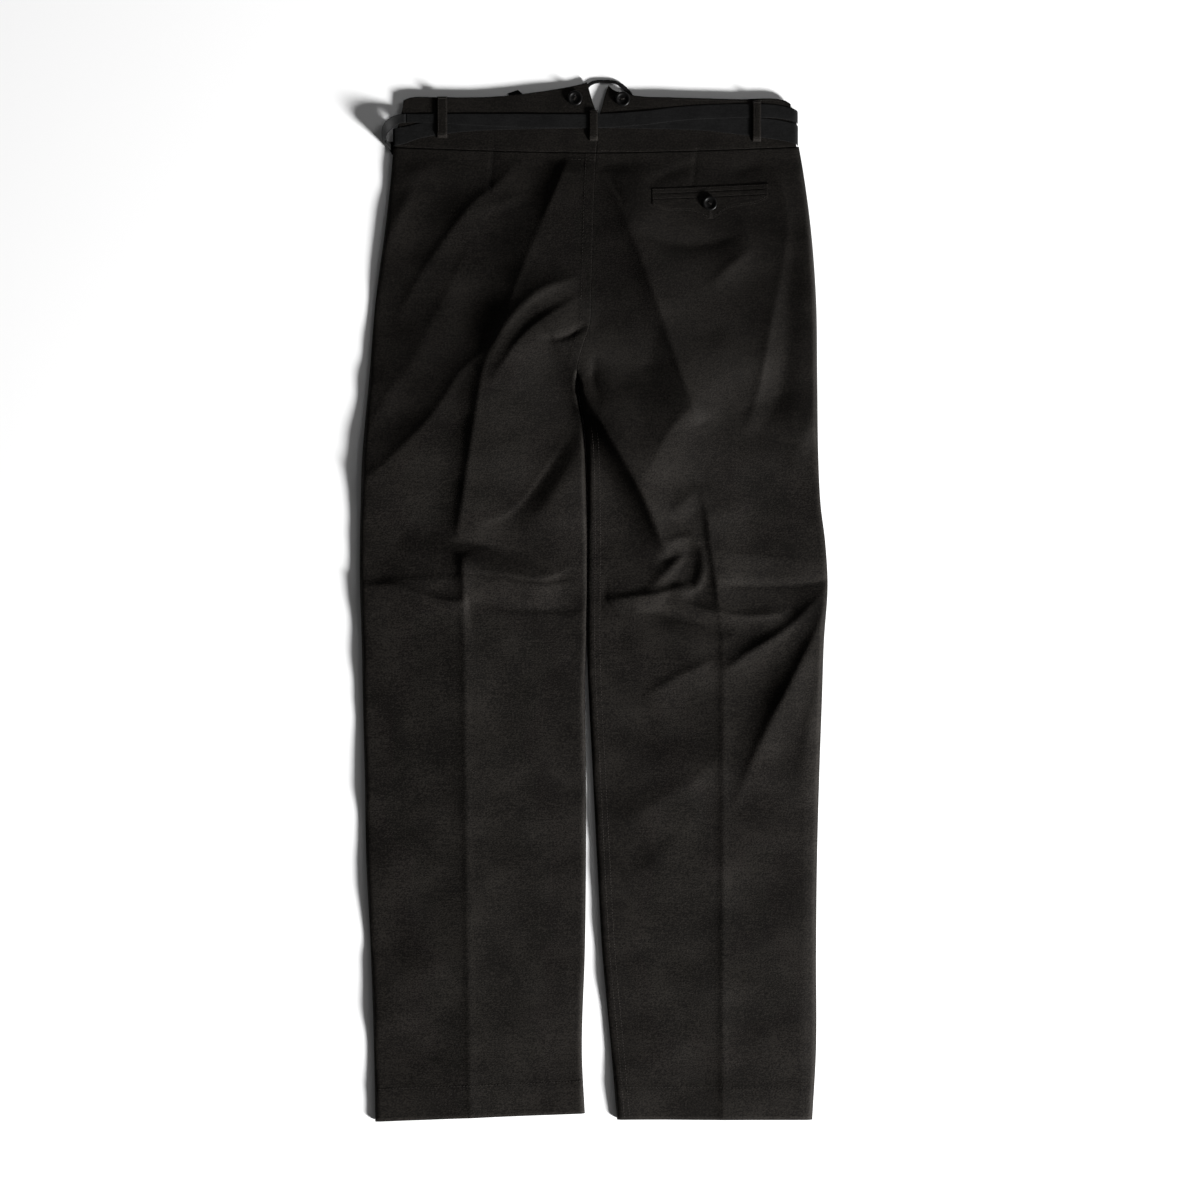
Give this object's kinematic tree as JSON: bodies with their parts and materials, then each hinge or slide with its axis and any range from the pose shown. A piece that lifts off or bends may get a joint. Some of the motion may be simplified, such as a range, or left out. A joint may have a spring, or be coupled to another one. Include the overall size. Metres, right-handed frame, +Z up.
{
  "type": "canvas trousers",
  "caption": "Straight-legged canvas trousers laid flat on their front, with a raised notched back waistband, belt loops, a buttoned back pocket and a woven tape sash.",
  "frame": {"origin": "middle of the laid-out trousers on the surface they lie on", "axes": "+Y from the hems to the waist, +X to the wearer's right, +Z up out of the seat side"},
  "size_m": [0.4958, 1.1035, 0.0165],
  "materials": {
    "canvas": "matt brushed canvas with a fine uneven weave",
    "tape": "matt woven tape",
    "button": "polished"
  },
  "bodies": {
    "root": {"back_left": "canvas", "back_right": "canvas", "front_left": "canvas", "front_right": "canvas", "waistband_back_left": "canvas", "waistband_back_right": "canvas", "waistband_front_left": "canvas", "waistband_front_right": "canvas", "belt_loop_left": "canvas", "belt_loop_centre": "canvas", "belt_loop_right": "canvas", "pocket_welt_upper": "canvas", "pocket_welt_lower": "canvas", "pocket_flap": "canvas", "sash_upper": "tape", "sash_lower": "tape", "sash_left_loop": "tape", "sash_front_upper": "tape", "sash_front_lower": "tape", "sash_bow_loop": "tape", "sash_end": "tape", "button_brace_left": "button", "button_brace_right": "button", "button_pocket": "button"}
  },
  "joints": []
}
